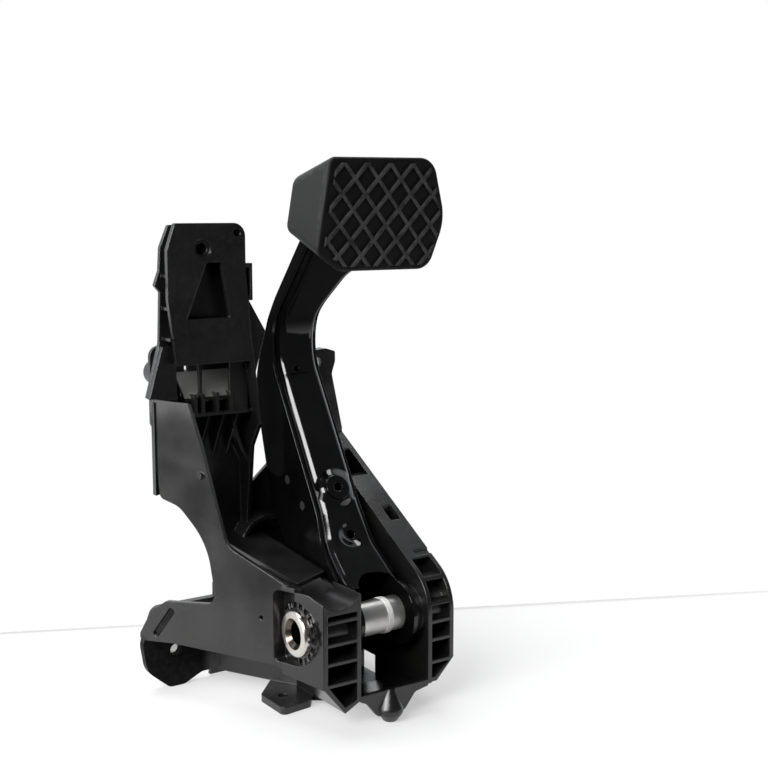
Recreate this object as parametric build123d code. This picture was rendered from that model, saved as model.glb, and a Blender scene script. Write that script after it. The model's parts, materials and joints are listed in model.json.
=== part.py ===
"""Hanging brake pedal with its moulded bracket, standing on the bracket with the pedal pad up.

Millimetres. X runs along the pivot, Y points away from the driver's foot, Z is up.
The origin is the middle of the pivot axis, halfway between the bracket's two cheeks.
"""
from build123d import *
import os
from math import atan2, cos, degrees, hypot, radians, sin, tan

# Fits
press_gap = 0.02        # radial room between pieces that are pressed together
running_gap = 0.05      # radial room between the pivot tube and the bearing liner
side_gap = 0.4          # side play of each thrust washer
stop_gap = 0.4          # room between the resting arm and the bracket's rear web
seat_gap = 0.3          # room round the arm where it enters the rubber pad

# Pivot
pivot_bore_d = 11.4
pivot_tube_d = 13.9
pivot_mouth = 2.3       # size of the flare at the bore's mouth
pivot_flange_d = 24.4
pivot_flange_t = 3.2
retainer_d = 25.0
retainer_t = 2.6
tube_stick_out = 1.6    # length of tube past the retainer
liner_t = 1.0
hub_tube_t = 1.1
hub_collar_w = 3.0      # white collar of the liner between the two hub tubes
hub_collar_x = 3.5      # middle of that collar
hub_collar_proud = 0.5
washer_d = 28.0
left_washer_d = 23.0
washer_t = 1.2

# Bracket: the two cheeks
cheek_gap = 42.4
cheek_end_w = 16.6
left_end_w = 22.4       # the left front end is wider
wall_t = 2.4
rib_t = 1.8
front_y = -18.0
rear_y = 92.0
base_z = -51.0
flare_deg = 28.0        # the left outer wall turns outwards by this much
flare_front_x = 38.25   # where that wall's line meets the front plane
cell_depth = 24.0       # depth of the open cells in the cheeks' front ends
right_rib_z = (-25.0, -12.8, -3.1, 6.6, 18.6)
right_top_cell_z = 27.5
right_shoulder_z = 15.5
right_slope_deg = 31.0
right_shoulder_r = 26.0
right_bevel = 11.0
left_rib_z = (-24.6, -13.4, -3.4, 8.2)
left_end_top_z = 21.5
left_tip_x = -31.0
left_tip_z = -40.6
saddle_r = 15.0
saddle_x = -33.5
saddle_z = 29.2
boss_d = 27.0           # inner boss that carries each thrust washer
recess_x = 47.6         # distance of the left ring recess's floor from the middle
recess_r = 16.8
recess_back = 12.8
recess_top = 21.0
recess_low = 17.0
recess_cells = 18
top_plate_z = 24.0      # left top plate at the front
top_plate_rise = 0.10   # its rise for each millimetre to the rear
top_plate_w = 22.0
cheek_front_low_z = -35.6
cheek_rear_low_z = -47.0

# Bracket: nose, floor, tab
nose_x = -2.5
nose_r = 7.6
nose_tip_r = 3.6
nose_top_r = 2.5
skirt_top_z = -33.8
floor_bend_y = 26.0
tab_t = 4.0
tab_hole_d = 5.5
tab_hole_x = -37.0
tab_hole_y = 35.0

# Bracket: rear web and its four mounting pads
mount_y = 108.0
mount_hole_d = 6.6
sleeve_d = 10.0
mount_pad_d = 14.0
mount_x_left = -74.0
mount_x_right = 20.5
mount_z_low = -30.0
mount_z_high = 124.0
post_top_z = 132.0
post_left_x = 15.2      # just clear of the arm's side
post_waist_x = 30.8
post_head_x = 33.2
web_left_z = 54.0       # height of the rear web's free edge at the trough
web_right_z = 91.0      # and at the post
booster_cup_r = 17.0
booster_cup_x = -20.0
booster_cup_z = 24.0
cup_depth = 12.0

# Bracket: accelerator carrier tower
tower_y = 70.0
tower_depth = 12.0
tower_plate_t = 3.0
tower_top_z = 205.5
tower_low_z = 131.0
tower_left_x = -82.6
tower_right_x = -37.0
tower_hole_d = 6.5
tower_hole_rim_d = 10.0
tower_hole_x = -62.5
tower_hole_z = 192.0
tower_pin_hole_d = 4.2
tower_pin_hole_x = -42.0
tower_pin_hole_z = 200.3
tower_rib_z = (178.0, 161.0, 145.0)
trough_left_top_z = 114.0
trough_rib_z = 103.0
trough_right_x = -28.3
lug_r = 12.0

# Pedal arm
arm_w = 24.0
hub_w = 34.0
hub_right_x = 15.0      # outer face of the right lobe; the left one ends at half of hub_w
arm_t = 2.5
lobe_r = 17.2
left_lobe_r = 12.0
flank_low = 8.3         # depth of the front shell's sides, low on the arm
flank_top = 6.8         # and under the pad
nest_low = 4.5          # where the rear shell's sides start behind the front face
nest_top = 3.2
arm_knee_y = 22.0       # where the front leaves the hub's slope
arm_knee_z = 35.0
arm_bend_y = 84.5       # corner of the long bend, before rounding
arm_bend_z = 138.8
arm_top_y = 28.0
arm_top_z = 228.0
arm_top_depth = 10.4
arm_end_z = 221.0       # height where both shells end inside the pad
arm_heel_y = 84.5       # lower corner of the arm's back
arm_heel_z = 46.0
arm_rump_y = 104.0      # rearmost corner of the arm's back
arm_rump_z = 114.0
arm_bend_r = 32.0
arm_knee_r = 24.0
arm_edge_r = 4.5
arm_flare_x = 32.0      # right-hand reach of the arm under the pad
flare_lip = 2.0         # most that the rear pressing stands out past the flare
emboss_d = 14.0
emboss_h = 1.6
emboss_hole_d = 5.0
emboss_z = 62.0
dimple_z = 37.0
small_hole_z = 124.0
small_hole_d = 3.6
latch_hole_d = 5.0
latch_a = (67.0, 63.0)
latch_b = (51.0, 51.5)
rod_hole_d = 12.0
socket_ball_d = 9.0

# Pad
pad_x = 21.0
pad_y = 25.0
pad_z = 210.0
pad_tilt_deg = 8.0
pad_depth = 31.0
pad_skin = 3.0
pad_face_t = 5.0
plate_t = 4.0
ridge_w = 2.0
ridge_h = 1.3
ridge_pitch_x = 14.5
ridge_pitch_z = 16.2
ridge_border = 3.6
ridge_shift_x = -4.7
ridge_shift_z = 2.4

inner_x = cheek_gap / 2
outer_x = inner_x + cheek_end_w
web_back_y = rear_y + wall_t
floor_low_z = base_z + 1.0
hub_r = pivot_tube_d / 2 + running_gap + liner_t + press_gap + hub_tube_t
liner_r = pivot_tube_d / 2 + running_gap + liner_t


def face_of(points, radii=0.0):
    """A flat face in XY from corner points, each rounded by its radius."""
    return make_face(FilletPolyline(*points, radius=radii, close=True))


def side_solid(points, x_low, x_high, radii=0.0):
    """A (Y, Z) outline carried along X."""
    return extrude(Plane.YZ.offset(x_low) * face_of(points, radii), x_high - x_low)


def front_solid(points, y_low, y_high, radii=0.0):
    """An (X, Z) outline carried along Y."""
    plane = Plane((0, y_low, 0), x_dir=(1, 0, 0), z_dir=(0, -1, 0))
    return extrude(plane * face_of(points, radii), y_low - y_high)


def plan_solid(points, z_low, z_high, radii=0.0):
    """An (X, Y) outline carried along Z."""
    return extrude(Plane.XY.offset(z_low) * face_of(points, radii), z_high - z_low)


def box_between(low, high):
    """A box from its lowest corner to its highest."""
    size = [b - a for a, b in zip(low, high)]
    middle = [(a + b) / 2 for a, b in zip(low, high)]
    return Pos(*middle) * Box(*size)


def rod_x(radius, x_low, x_high, y=0.0, z=0.0):
    """A round bar along X."""
    return Pos((x_low + x_high) / 2, y, z) * Rot(0, 90, 0) * Cylinder(radius, x_high - x_low)


def rod_y(radius, y_low, y_high, x=0.0, z=0.0):
    """A round bar along Y."""
    return Pos(x, (y_low + y_high) / 2, z) * Rot(90, 0, 0) * Cylinder(radius, y_high - y_low)


def flare_x(y):
    """X of the flared left wall's outer face at this Y."""
    return -flare_front_x - (y - front_y) * tan(radians(flare_deg))


def flared_solid(points, thickness, inset=0.0, radii=0.0):
    """A (Y, Z) outline drawn on the flared left wall and thickened inwards."""
    turn = radians(flare_deg)
    plane = Plane(
        (-flare_front_x, front_y, 0),
        x_dir=(-sin(turn), cos(turn), 0),
        z_dir=(cos(turn), sin(turn), 0),
    ).offset(inset)
    along = [((y - front_y) / cos(turn), z) for y, z in points]
    return extrude(plane * face_of(along, radii), thickness)


def moved_line(points, distances):
    """An open polyline with each point moved to the line's right by its own distance."""
    moved = []
    for i, (y, z) in enumerate(points):
        normals = []
        for a, b in ((i - 1, i), (i, i + 1)):
            if a < 0 or b >= len(points):
                continue
            dy = points[b][0] - points[a][0]
            dz = points[b][1] - points[a][1]
            normals.append((dz / hypot(dy, dz), -dy / hypot(dy, dz)))
        ny = sum(n[0] for n in normals)
        nz = sum(n[1] for n in normals)
        scale = distances[i] * len(normals) / (ny * ny + nz * nz)
        moved.append((y + ny * scale, z + nz * scale))
    return moved


# Bracket


def right_cheek():
    """Right cheek: a box rounded over the shoulder, open cells in front, hollow from the rear."""
    rise = tan(radians(right_slope_deg))
    rear_top = right_shoulder_z + (web_back_y - front_y) * rise
    outline = [
        (front_y, cheek_front_low_z),
        (front_y, right_shoulder_z),
        (web_back_y, rear_top),
        (web_back_y, cheek_rear_low_z),
    ]
    block = side_solid(outline, inner_x, outer_x, [0, right_shoulder_r, 0, 0])
    low_edge = block.edges().filter_by_position(Axis.X, outer_x - 0.1, outer_x + 0.1)
    block = chamfer(low_edge.sort_by(Axis.Z)[0], right_bevel)
    core_y = front_y + cell_depth + wall_t
    core = [
        (core_y, cheek_front_low_z),
        (core_y, right_shoulder_z + (core_y - front_y) * rise - 1.6 * wall_t),
        (web_back_y + wall_t, rear_top + wall_t * rise - 1.6 * wall_t),
        (web_back_y + wall_t, cheek_rear_low_z + right_bevel),
    ]
    block -= side_solid(core, inner_x + wall_t, outer_x - wall_t)
    floors = right_rib_z + (right_top_cell_z,)
    for low, high in zip(floors, floors[1:]):
        block -= box_between(
            (inner_x + wall_t, front_y - wall_t, low + rib_t / 2),
            (outer_x - wall_t, front_y + cell_depth, high - rib_t / 2),
        )
    low_cell = [
        (inner_x + wall_t, right_rib_z[0] - rib_t / 2),
        (outer_x - wall_t, right_rib_z[0] - rib_t / 2),
        (outer_x - right_bevel - wall_t / 3, cheek_front_low_z + wall_t),
        (inner_x + wall_t, cheek_front_low_z + wall_t),
    ]
    block -= front_solid(low_cell, front_y - wall_t, front_y + cell_depth)
    for x_low, y_low, y_high in ((28.0, 26.6, 36.5), (inner_x + wall_t, 57.0, 79.0)):
        top_z = right_shoulder_z + (y_high - front_y) * rise + wall_t
        block -= box_between((x_low, y_low, top_z - 6 * wall_t), (outer_x - wall_t - 1.0, y_high, top_z))
    slit = [(2.5, 26.6), (6.0, 28.7), (6.0, 34.0), (2.5, 34.0)]
    return block - side_solid(slit, 27.5, outer_x + 1.0)


def left_end_line(y):
    """X of the left front end's outer face, between the front plane and the flared wall."""
    end_y = front_y + cell_depth + wall_t
    share = (y - front_y) / (end_y - front_y)
    start = -inner_x - left_end_w
    return start + share * (flare_x(end_y) - start)


def left_front_end():
    """Left cheek's front end: a flared box with open cells and a scooped top."""
    end_y = front_y + cell_depth + wall_t
    start = -inner_x - left_end_w
    plan = [(-inner_x, front_y), (start, front_y), (flare_x(end_y), end_y), (-inner_x, end_y)]
    block = plan_solid(plan, left_tip_z, left_end_top_z)
    far_x = flare_x(end_y) - 1.0
    section = [
        (-inner_x, left_end_top_z),
        (-inner_x, cheek_front_low_z),
        (left_tip_x, left_tip_z),
        (start + 0.6, left_rib_z[0] - 1.5),
        (far_x, left_rib_z[0] + 2.0),
        (far_x, left_end_top_z),
    ]
    block &= front_solid(section, front_y, end_y)
    skew = 1.06 * wall_t
    back_y = end_y - wall_t
    pocket_plan = [
        (-inner_x - wall_t, front_y - wall_t),
        (left_end_line(front_y - wall_t) + skew, front_y - wall_t),
        (left_end_line(back_y) + skew, back_y),
        (-inner_x - wall_t, back_y),
    ]
    floors = left_rib_z + (saddle_z - saddle_r - wall_t + rib_t / 2,)
    for low, high in zip(floors, floors[1:]):
        block -= plan_solid(pocket_plan, low + rib_t / 2, high - rib_t / 2)
    low_cell = [
        (-inner_x - wall_t, left_rib_z[0] - rib_t / 2),
        (-inner_x - wall_t, cheek_front_low_z + 0.4 * wall_t),
        (left_tip_x, left_tip_z + 1.3 * wall_t),
        (start + 1.4 * wall_t, left_rib_z[0] - rib_t / 2),
    ]
    block -= front_solid(low_cell, front_y - wall_t, back_y)
    return block - rod_y(saddle_r, front_y - 1, end_y + 12, saddle_x, saddle_z)


def left_walls():
    """Left cheek: inner wall, top plate with its groove, and the flared outer wall with the foot arm."""
    notch_y = front_y + 35.0
    back_top = top_plate_z + (web_back_y - notch_y) * top_plate_rise
    inner = side_solid(
        [
            (front_y, cheek_front_low_z),
            (front_y, saddle_z - saddle_r),
            (notch_y, saddle_z - saddle_r + 6.0),
            (notch_y, top_plate_z),
            (web_back_y, back_top),
            (web_back_y, floor_low_z),
            (floor_bend_y, floor_low_z),
        ],
        -inner_x - wall_t,
        -inner_x,
    )
    top_band = side_solid(
        [
            (notch_y - 10.0, top_plate_z - 1.0),
            (web_back_y, back_top),
            (web_back_y, back_top - wall_t),
            (notch_y - 10.0, top_plate_z - 1.0 - wall_t),
        ],
        -inner_x - 2 * top_plate_w,
        -inner_x,
    )
    top_plan = [
        (-inner_x, notch_y),
        (-inner_x - top_plate_w, notch_y - 9.0),
        (-inner_x - top_plate_w - 5.0, web_back_y),
        (-inner_x, web_back_y),
    ]
    top_plate = top_band & plan_solid(top_plan, 0, 2 * top_plate_z)
    groove_floor = plan_solid(
        [
            (-inner_x - top_plate_w + 2.0, notch_y - 12.0),
            (flare_x(notch_y - 12.0) + 1.0, notch_y - 12.0),
            (flare_x(40.0) + 1.0, 40.0),
            (-inner_x - top_plate_w - 3.0, 60.0),
        ],
        top_plate_z - 6.0,
        top_plate_z - 6.0 + wall_t,
    )
    outer = flared_solid(
        [
            (6.0, -22.2),
            (6.0, 23.8),
            (37.6, 39.6),
            (42.7, 58.6),
            (50.4, 89.4),
            (57.6, trough_left_top_z - 1.6),
            (80.3, trough_left_top_z),
            (75.0, 61.0),
            (64.0, 57.5),
            (48.7, 40.0),
            (44.0, 7.6),
            (73.0, 4.5),
            (82.0, -2.5),
            (89.0, -16.0),
            (89.0, -20.0),
            (69.0, -18.4),
            (11.5, -19.5),
        ],
        wall_t,
        radii=[0, 0, 10, 20, 20, 0, 3, 4, 14, 40, 6, 3, 6, 2, 2, 20, 10],
    )
    slot = flared_solid([(67.5, -0.5), (70.6, 1.8), (81.6, -14.8), (78.5, -17.1)], 3 * wall_t, -wall_t, 1.6)
    outer -= slot
    leg_start = 43.0
    leg = flared_solid(
        [(rear_y, 4.0), (rear_y, base_z + tab_t), (leg_start, base_z + tab_t), (leg_start, 4.0)],
        wall_t,
    )
    reach = -inner_x - wall_t - flare_x(leg_start)
    return inner + top_plate + groove_floor + outer + Pos(reach, 0, 0) * leg


def ring_recess_face(grow=0.0):
    """Outline, in (Y, Z), of the flat recess round the pivot tube's flange."""
    far = 50.0
    ahead = Pos(recess_back + grow - far, 0) * Rectangle(2 * far, 2 * far)
    round_part = Circle(recess_r + grow) & ahead
    back_part = face_of(
        [
            (0, -recess_low - grow),
            (recess_back + grow, -recess_low - grow),
            (recess_back + grow, recess_top + grow),
            (0, recess_top + grow),
        ],
        [0, 3, 3, 0],
    )
    return Plane.YZ * (round_part + back_part)


def ring_recess_boss():
    """Material behind the ring recess, trimmed to the flared wall's outer face."""
    far = 110.0
    boss = extrude(Pos(-recess_x + wall_t, 0, 0) * ring_recess_face(wall_t), -far)
    inside = plan_solid(
        [
            (0, front_y),
            (left_end_line(front_y), front_y),
            (left_end_line(front_y + cell_depth + wall_t), front_y + cell_depth + wall_t),
            (flare_x(rear_y), rear_y),
            (0, rear_y),
        ],
        -far,
        far,
    )
    nose = extrude(Pos(-recess_x, 0, 0) * (Plane.YZ * Circle(recess_r - 1.0)), 2 * wall_t)
    return (boss & inside) + nose


def ring_recess_cut():
    """The recess itself and the small lightening cells round the tube."""
    cut = extrude(Pos(-recess_x, 0, 0) * ring_recess_face(), -60.0)
    cell = Plane.YZ.offset(-recess_x) * (Pos(0.5 * (recess_r + pivot_flange_d / 2), 0) * Rectangle(3.0, 3.3))
    tool = extrude(cell, 1.6)
    for i in range(recess_cells):
        cut += Rot(i * 360.0 / recess_cells, 0, 0) * tool
    return cut


def floor_and_nose():
    """Floor between the cheeks, its front skirt and the rounded nose that the bracket stands on."""
    floor = side_solid(
        [
            (front_y, skirt_top_z),
            (floor_bend_y, floor_low_z + wall_t),
            (rear_y + 1.0, floor_low_z + wall_t),
            (rear_y + 1.0, floor_low_z),
            (floor_bend_y, floor_low_z),
            (front_y, skirt_top_z - wall_t),
        ],
        -inner_x - 1.0,
        inner_x + 1.0,
    )
    sill = side_solid(
        [
            (front_y, skirt_top_z),
            (rear_y, -32.0),
            (rear_y, floor_low_z),
            (floor_bend_y, floor_low_z),
            (front_y, skirt_top_z - wall_t),
        ],
        inner_x,
        inner_x + wall_t,
    )
    skirt_low = cheek_front_low_z - 1.5
    skirt = front_solid(
        [
            (-inner_x, skirt_top_z),
            (inner_x, skirt_top_z),
            (inner_x, skirt_low),
            (nose_x + 2.0 * nose_r, skirt_low - 1.5),
            (nose_x + 1.1 * nose_r, base_z + 4.0),
            (nose_x - 1.1 * nose_r, base_z + 4.0),
            (nose_x - 2.0 * nose_r, skirt_low - 1.5),
            (-inner_x, skirt_low),
        ],
        front_y,
        front_y + wall_t,
        [0, 0, 0, 3, 3, 3, 3, 0],
    )
    drop = face_of(
        [
            (0, skirt_top_z),
            (nose_top_r, skirt_top_z),
            (nose_r, base_z + 5.5),
            (nose_tip_r, base_z),
            (0, base_z),
        ],
        [0, 0, 4.0, 1.5, 0],
    )
    nose = Pos(nose_x, front_y + wall_t / 2, 0) * revolve(Plane.XZ * drop, Axis.Z)
    nose &= box_between((-inner_x, front_y - 20.0, base_z - 1), (inner_x, front_y + wall_t, 0))
    return floor + sill + skirt + nose


def tab():
    """Flat ear low on the left, with one screw hole."""
    ear = plan_solid(
        [(-inner_x, 58.0), (-32.0, 58.0), (-46.0, 43.0), (-46.0, 19.0), (-28.0, 21.0), (-inner_x, 30.0)],
        base_z,
        base_z + tab_t,
        [0, 3, 3, 3, 3, 0],
    )
    return ear - Pos(tab_hole_x, tab_hole_y, base_z) * Cylinder(tab_hole_d / 2, 4 * tab_t)


def arm_stop_z():
    """Height of the web's edge under the arm, where the resting arm comes to its stop."""
    lean = (arm_rump_y - arm_heel_y) / (arm_rump_z - arm_heel_z)
    level_gap = stop_gap * hypot(1.0, lean)
    return arm_heel_z + (rear_y - level_gap - arm_heel_y) / lean


def rear_web():
    """Rear web with its slanting free edge, the foot, the upper lug, the post and four mounting pads."""
    edge_left = trough_right_x
    stop_z = arm_stop_z()
    web = front_solid(
        [
            (-52.0, floor_low_z),
            (20.0, floor_low_z),
            (24.0, base_z),
            (outer_x, base_z),
            (outer_x, right_shoulder_z + 60.0),
            (post_waist_x - 5.0, web_right_z + 4.0),
            (post_waist_x - 12.0, web_right_z),
            (post_left_x, stop_z),
            (-arm_w / 2 + arm_t, stop_z),
            (edge_left, web_left_z),
            (edge_left, 146.0),
            (-62.0, trough_left_top_z + 14.0),
            (-62.0, 48.0),
            (-48.0, 30.0),
            (-48.0, 4.0),
        ],
        rear_y,
        web_back_y,
        [0, 2, 2, 3, 0, 0, 3, 4, 4, 4, 0, 0, 12, 12, 0],
    )
    foot = front_solid(
        [
            (-46.0, -4.0),
            (-86.0, -4.0),
            (-93.5, -24.0),
            (-91.0, -40.0),
            (-78.0, base_z),
            (-69.0, base_z),
            (-58.0, base_z + tab_t + 1.0),
            (-46.0, base_z + tab_t + 1.0),
        ],
        rear_y - wall_t,
        web_back_y,
        [0, 6, 12, 12, 5, 5, 5, 0],
    )
    lug = front_solid(
        [
            (mount_x_left - lug_r + 2.0, 96.0),
            (mount_x_left - lug_r + 2.0, mount_z_high + lug_r + 4.0),
            (mount_x_left + lug_r - 2.0, mount_z_high + lug_r + 4.0),
            (mount_x_left + lug_r - 2.0, 108.0),
            (-60.0, 108.0),
            (-60.0, 90.0),
        ],
        rear_y,
        web_back_y,
        [3, 6, 6, 2, 0, 0],
    )
    corner = plan_solid(
        [
            (flare_x(79.0) + 0.5, 76.0),
            (flare_x(79.0) + 0.5, 80.0),
            (-66.0, web_back_y),
            (-60.0, web_back_y),
            (-60.0, rear_y),
            (-64.0, rear_y),
        ],
        62.0,
        trough_left_top_z - 2.0,
    )
    post = front_solid(
        [
            (post_left_x, 60.0),
            (outer_x, 60.0),
            (outer_x, 84.0),
            (post_waist_x, 117.0),
            (post_head_x, 124.0),
            (post_head_x, post_top_z - 2.0),
            (post_head_x - 6.2, post_top_z),
            (post_left_x, post_top_z - 1.0),
        ],
        rear_y,
        rear_y + 3 * wall_t,
        [0, 0, 2, 6, 6, 1.5, 4, 3],
    )
    body = web + foot + lug + corner + post
    for x in (mount_x_left, mount_x_right):
        for z in (mount_z_low, mount_z_high):
            body += rod_y(mount_pad_d / 2, rear_y, mount_y, x, z)
    body -= box_between((0, rear_y - 1, web_right_z + 6.0), (post_left_x, mount_y + 1, post_top_z + 8.0))
    body += rod_y(booster_cup_r, rear_y - cup_depth, rear_y, booster_cup_x, booster_cup_z)
    body -= rod_y(booster_cup_r - wall_t, rear_y - cup_depth - 1, rear_y, booster_cup_x, booster_cup_z)
    return body


def tower():
    """Carrier tower: front plate with its tapered window, ribbed sides, and the open trough below."""
    back = tower_y + tower_depth
    plate_outline = [
        (tower_left_x + 4.6, tower_top_z),
        (tower_left_x, tower_top_z - 13.5),
        (tower_left_x, 166.0),
        (tower_left_x + 4.2, tower_low_z),
        (tower_right_x + 4.0, tower_low_z),
        (tower_right_x - 2.8, 183.0),
        (tower_right_x, 183.5),
        (tower_right_x, tower_top_z),
    ]
    plate = front_solid(plate_outline, tower_y, tower_y + tower_plate_t, [1, 2, 10, 0, 0, 0, 0, 7])
    window = [(-60.0, 184.8), (-51.7, 184.8), (-46.9, 155.2), (-72.0, 155.2)]
    plate -= front_solid(window, tower_y - 1, tower_y + tower_plate_t + 1, 0.8)
    rear_outline = [
        (tower_left_x + 5.3, tower_top_z - 1.0),
        (tower_left_x + 0.4, tower_top_z - 12.6),
        (tower_left_x - 0.4, 181.0),
        (tower_left_x - 3.3, 173.1),
        (tower_left_x - 0.2, 169.5),
        (tower_left_x - 1.3, 143.0),
        (tower_left_x - 9.0, trough_left_top_z),
        (tower_left_x - 4.0, trough_left_top_z - 3.0),
        (tower_left_x + 4.2, tower_low_z),
        (tower_right_x + 5.0, tower_low_z),
        (tower_right_x, 183.0),
        (tower_right_x, tower_top_z),
    ]
    rear = front_solid(rear_outline, back - wall_t, back, [1, 2, 0, 0.5, 0, 8, 0, 0, 2, 0, 0, 7])
    side = front_solid(
        [(-83.8, 141.0), (tower_left_x - 9.0, trough_left_top_z), (-76.0, 112.0), (-76.0, 141.0)],
        76.0,
        back - wall_t / 2,
    )
    core_outline = [
        (tower_left_x + 8.0, tower_top_z - 1.0),
        (tower_left_x + 5.5, tower_top_z - 14.0),
        (tower_left_x + 7.5, tower_low_z),
        (tower_right_x + 4.0, tower_low_z),
        (tower_right_x, 183.0),
        (tower_right_x, tower_top_z - 1.0),
    ]
    core = front_solid(core_outline, tower_y, back, [0, 0, 0, 0, 0, 6.5])
    hollow = [
        (tower_left_x + 11.0, tower_top_z - 4.0),
        (tower_left_x + 8.5, tower_top_z - 16.0),
        (tower_left_x + 10.5, tower_low_z - 1.0),
        (tower_right_x - 1.0, tower_low_z - 1.0),
        (tower_right_x - wall_t, 183.0),
        (tower_right_x - wall_t, tower_top_z - 4.0),
    ]
    core -= front_solid(hollow, tower_y - 1, back + 1, [0, 0, 0, 0, 0, 4])
    body = plate + rear + core + side
    for z in tower_rib_z:
        body += box_between((tower_left_x + 0.6, tower_y, z - rib_t / 2), (tower_left_x + 9.0, back, z + rib_t / 2))
    body += rod_y(tower_hole_rim_d / 2 + 1.5, tower_y, back, tower_hole_x, tower_hole_z)
    body -= rod_y(tower_hole_rim_d / 2, tower_y - 1, tower_y + 1.2, tower_hole_x, tower_hole_z)
    body -= rod_y(tower_hole_d / 2, tower_y - 1, back - wall_t, tower_hole_x, tower_hole_z)
    body -= rod_y(tower_pin_hole_d / 2, tower_y - 1, tower_y + tower_plate_t, tower_pin_hole_x, tower_pin_hole_z)
    return body + trough()


def trough():
    """Open channel under the tower plate: right wall, crate rib, gussets and the side wing."""
    low_z = top_plate_z + 6.0
    wall = front_solid(
        [
            (tower_right_x - 2.8 - wall_t, 183.0),
            (tower_right_x - 2.8, 183.0),
            (tower_right_x + 4.2, 135.0),
            (trough_right_x, 95.6),
            (trough_right_x, low_z),
            (trough_right_x - wall_t, low_z),
            (trough_right_x - wall_t, 95.6),
            (tower_right_x + 4.2 - wall_t, 135.0),
        ],
        tower_y,
        web_back_y,
    )
    wall -= side_solid(
        [(tower_y - 1, 95.6), (tower_y, 95.6), (79.0, 82.0), (86.0, low_z), (tower_y - 1, low_z)],
        trough_right_x - 4 * wall_t,
        trough_right_x + wall_t,
    )
    shelf = box_between(
        (flare_x(68.0), 75.0, trough_rib_z - rib_t / 2), (trough_right_x, rear_y, trough_rib_z + rib_t / 2)
    )
    keep = plan_solid(
        [(flare_x(60.0) + 1, 60.0), (flare_x(78.0) + 1, 78.0), (-60.0, 94.0), (0, 94.0), (0, 60.0)], 0, 200
    )
    body = wall + (shelf & keep)
    for x in (-65.5, -61.0, -52.5, -44.0):
        body += box_between(
            (x - rib_t / 2, 75.0, trough_rib_z), (x + rib_t / 2, rear_y, trough_rib_z + 11.5)
        )
    for x in (-56.0, -47.0, -38.5):
        gusset = side_solid(
            [(77.0, trough_rib_z), (rear_y, trough_rib_z), (rear_y, trough_rib_z - 26.0)],
            x - rib_t / 2,
            x + rib_t / 2,
        )
        body += gusset
    divider = box_between((-62.0, 78.0, trough_rib_z), (-60.2, 80.0, tower_low_z + 1.0))
    arc = ThreePointArc((-40.4, 114.0), (-38.2, 92.0), (trough_right_x - 1.0, 72.0))
    ribbon = make_face(offset(arc, rib_t / 2))
    curved = extrude(Plane((0, 82.0, 0), x_dir=(1, 0, 0), z_dir=(0, -1, 0)) * ribbon, 82.0 - rear_y)
    wing = front_solid(
        [(tower_right_x - 1.0, 182.0), (-33.0, 182.0), (-33.0, 165.0), (-22.0, 146.0), (trough_right_x - 1.0, 121.0)],
        tower_y + 6.0,
        tower_y + 6.0 + wall_t,
        [0, 1, 2, 2, 0],
    )
    rim = box_between((-40.5, tower_y, 164.0), (-33.0, tower_y + 7.0, 184.0))
    rim -= box_between((-38.2, tower_y - 1, 166.6), (-34.4, tower_y + 5.0, 181.8))
    closing = box_between((-44.6, 76.0, trough_rib_z - 0.5), (-33.6, 76.0 + wall_t, tower_low_z + 0.5))
    slope = [(79.0, 109.5), (rear_y + 1, 123.5), (rear_y + 1, 126.0), (79.0, 112.0)]
    ramp = side_solid(slope, -70.0, trough_right_x - 1)
    return body + divider + curved + wing + rim + closing + ramp


def pedal_bracket():
    """The whole bracket, one moulding."""
    body = right_cheek() + left_front_end() + left_walls() + ring_recess_boss()
    body += floor_and_nose() + tab() + rear_web() + tower()
    boss_room = washer_t + side_gap
    body += rod_x(boss_d / 2, hub_right_x + boss_room, outer_x)
    body += rod_x(boss_d / 2, -recess_x + wall_t / 2, -hub_w / 2 - boss_room)
    body += rod_x(2.0, flare_x(51.1) - 1.2, flare_x(51.1) + wall_t, 51.1, 75.3)
    body -= rod_x(1.2, flare_x(19.4) - 6.0, flare_x(19.4) + 3 * wall_t, 19.4, 4.8)
    body -= ring_recess_cut()
    body -= rod_x(pivot_tube_d / 2 + press_gap, -recess_x - 10, outer_x + 10)
    body -= box_between((inner_x - 1, 32.5, floor_low_z + wall_t), (inner_x + wall_t + 0.5, 47.0, -35.8))
    notch = [(inner_x + wall_t, 33.0), (inner_x + wall_t, 50.0), (outer_x + 1, 75.0), (outer_x + 1, 58.0)]
    body -= plan_solid(notch, base_z - 1, -36.6)
    for x in (mount_x_left, mount_x_right):
        for z in (mount_z_low, mount_z_high):
            body -= rod_y(sleeve_d / 2 + press_gap, rear_y + wall_t, mount_y + 1, x, z)
            body -= rod_y(mount_hole_d / 2, rear_y - 4 * wall_t, mount_y, x, z)
    return body


def mount_sleeves():
    """Four steel sleeves that take the clamp load of the mounting bolts."""
    sleeves = []
    for x in (mount_x_left, mount_x_right):
        for z in (mount_z_low, mount_z_high):
            sleeve = rod_y(sleeve_d / 2, rear_y + wall_t, mount_y, x, z)
            sleeves.append(sleeve - rod_y(mount_hole_d / 2, rear_y - 1, mount_y + 1, x, z))
    return Compound(sleeves)


# Pivot


def pivot_tube():
    """Fixed hollow axle with a rolled flange on its left end."""
    left = -recess_x - pivot_flange_t
    right = outer_x + retainer_t + tube_stick_out
    tube = rod_x(pivot_tube_d / 2, -recess_x - pivot_flange_t, right)
    flange = rod_x(pivot_flange_d / 2, left, -recess_x)
    rim = flange.edges().sort_by(Axis.X)[0]
    tube += fillet(rim, 0.45 * pivot_flange_t)
    tube -= rod_x(pivot_bore_d / 2, left - 1, right + 1)
    mouth = tube.edges().filter_by(GeomType.CIRCLE).sort_by(Axis.X)[0:2].sort_by(SortBy.RADIUS)[0]
    return chamfer(mouth, pivot_mouth)


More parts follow.
